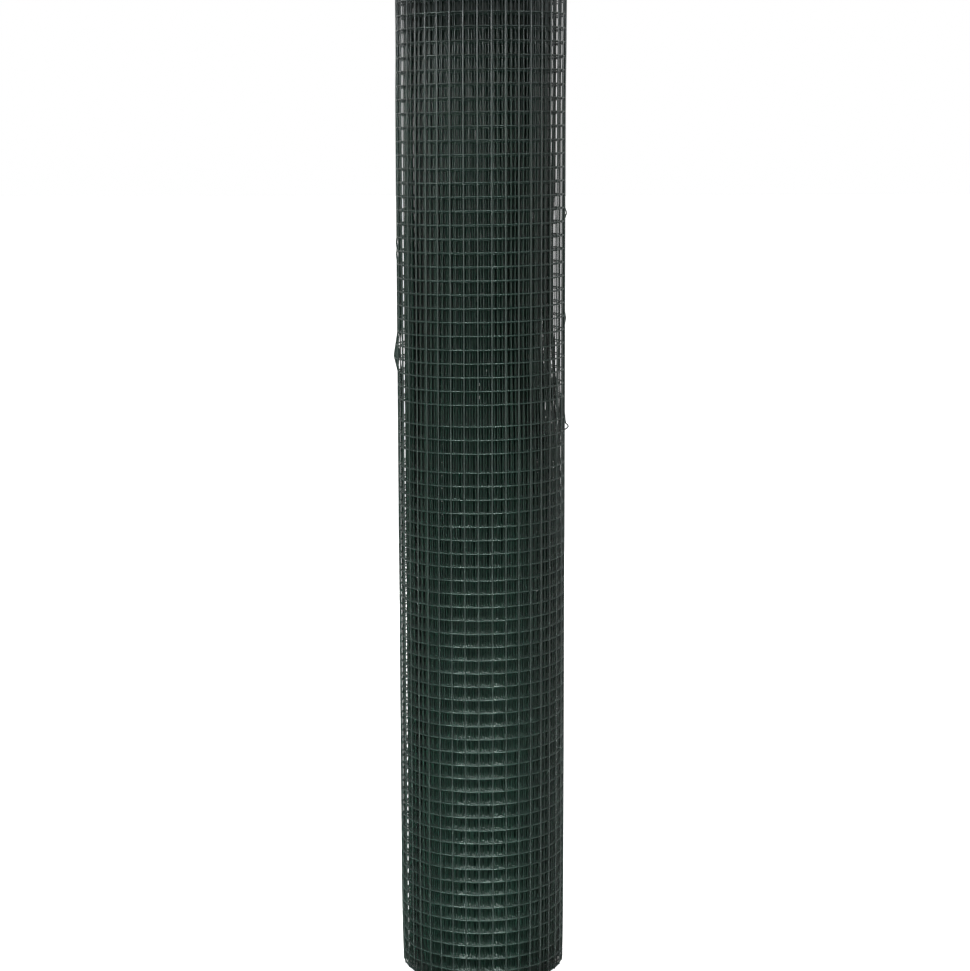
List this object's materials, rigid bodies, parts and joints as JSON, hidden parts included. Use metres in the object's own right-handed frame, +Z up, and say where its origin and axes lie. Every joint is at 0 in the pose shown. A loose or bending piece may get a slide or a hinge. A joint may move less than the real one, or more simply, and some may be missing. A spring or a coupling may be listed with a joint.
{
  "type": "wire mesh fencing roll",
  "caption": "Tall roll of dark green plastic-coated welded square wire mesh fencing, standing on one end, with an open bore through its middle.",
  "frame": {"origin": "on the axis of the roll's bore, at the end that it stands on", "axes": "+Z up along the axis of the roll, +X towards the free edge of the sheet, -Y towards the viewer of the picture"},
  "size_m": [0.1555, 0.1539, 0.914],
  "materials": {
    "green_coating": "satin dark green plastic coating on steel wire"
  },
  "bodies": {
    "root": {"mesh_roll": "green_coating"}
  },
  "joints": []
}
